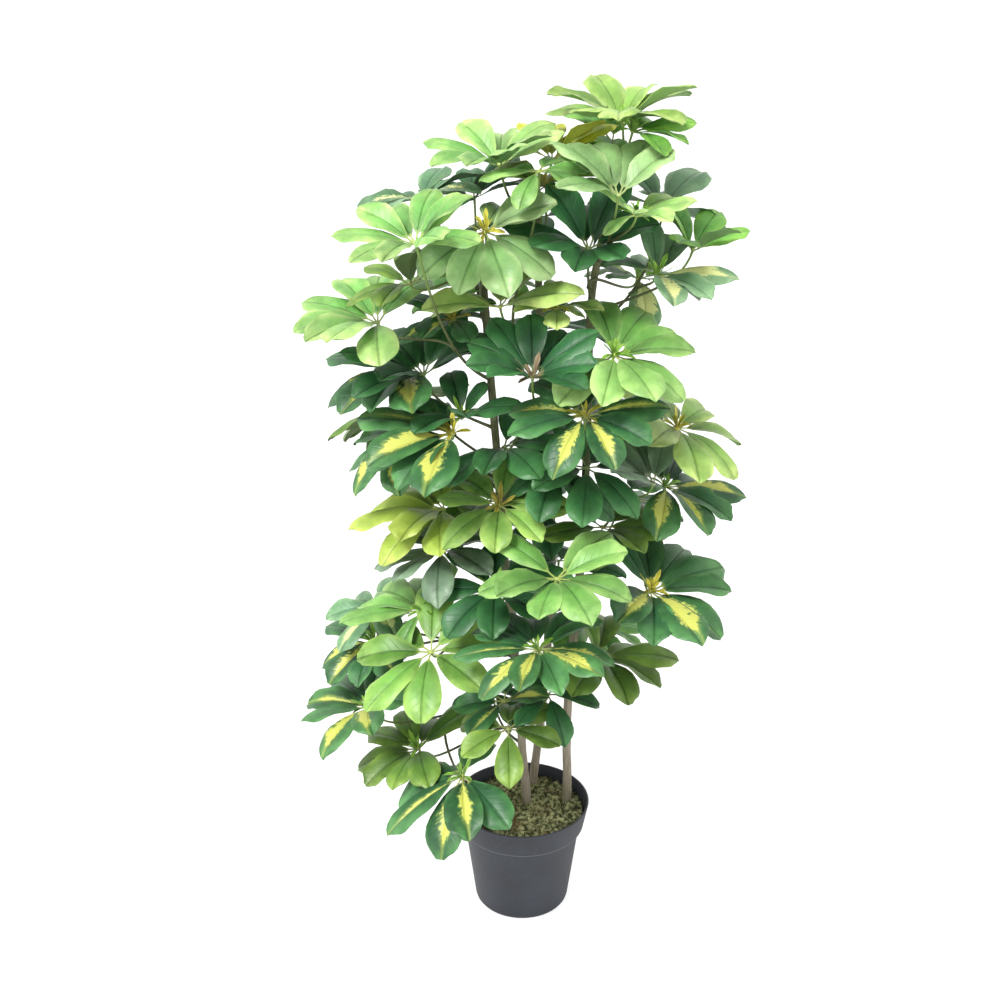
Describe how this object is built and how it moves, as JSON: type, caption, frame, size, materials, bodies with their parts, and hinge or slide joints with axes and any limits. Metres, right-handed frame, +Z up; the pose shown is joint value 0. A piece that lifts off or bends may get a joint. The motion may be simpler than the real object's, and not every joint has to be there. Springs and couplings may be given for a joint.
{
  "type": "potted umbrella plant",
  "caption": "Tall artificial umbrella plant (schefflera): slim trunks in a filled nursery pot under moss, with sprays of green and variegated leaflets that stand round like umbrella ribs.",
  "frame": {"origin": "centre of the pot's flat underside", "axes": "+Z up along the plant's height, -Y towards the viewer's side, +X to the viewer's right"},
  "size_m": [0.5647, 0.4606, 1.0792],
  "materials": {
    "pot": "matte dark grey moulded plastic",
    "filler": "rough cast filler",
    "moss": "clumped olive moss, brown in places",
    "bark": "rough grey-brown bark",
    "leaf_bright": "light green leaf with a satin face",
    "leaf_olive": "olive green leaf with a satin face",
    "leaf_dark": "dark blue-green leaf with a satin face",
    "leaf_marbled": "green leaf with a pale yellow patch along the midrib, satin"
  },
  "bodies": {
    "root": {"pot": "pot", "filler": "filler", "moss": "moss", "trunk_left": "bark", "trunk_middle": "bark", "trunk_right": "bark", "spray_crown_bright": "leaf_bright", "spray_crown_green": "leaf_olive", "spray_crown_mint": "leaf_bright", "spray_shoulder_sage": "leaf_olive", "spray_crown_olive": "leaf_olive", "spray_left_sage": "leaf_olive", "spray_left_shadow": "leaf_dark", "spray_left_marbled_high": "leaf_marbled", "spray_left_mint": "leaf_bright", "spray_heart_dark_high": "leaf_dark", "spray_right_marbled_high": "leaf_marbled", "spray_right_green": "leaf_olive", "spray_heart_bright": "leaf_bright", "spray_left_marbled_inner": "leaf_marbled", "spray_heart_dark_low": "leaf_dark", "spray_front_dark": "leaf_dark", "spray_left_dark": "leaf_dark", "spray_left_marbled": "leaf_marbled", "spray_left_marbled_low": "leaf_marbled", "spray_front_marbled": "leaf_marbled", "spray_right_bright": "leaf_bright", "spray_right_grey": "leaf_olive", "spray_right_marbled": "leaf_marbled", "spray_left_lime": "leaf_bright", "spray_left_olive": "leaf_olive", "spray_heart_dark": "leaf_dark", "spray_left_grey": "leaf_olive", "spray_front_bright": "leaf_bright", "spray_front_gloss": "leaf_dark", "spray_left_low_bright": "leaf_bright", "spray_left_low_marbled": "leaf_marbled", "spray_front_low_marbled": "leaf_marbled", "spray_right_low_olive": "leaf_olive", "spray_front_low_olive": "leaf_olive", "spray_base_marbled": "leaf_marbled", "spray_base_olive": "leaf_olive", "spray_base_dark": "leaf_dark", "spray_back_high_dark": "leaf_dark", "spray_back_low_dark": "leaf_dark", "spray_back_right_marbled": "leaf_marbled", "spray_back_low_green": "leaf_olive", "spray_back_left_olive": "leaf_olive"}
  },
  "joints": []
}
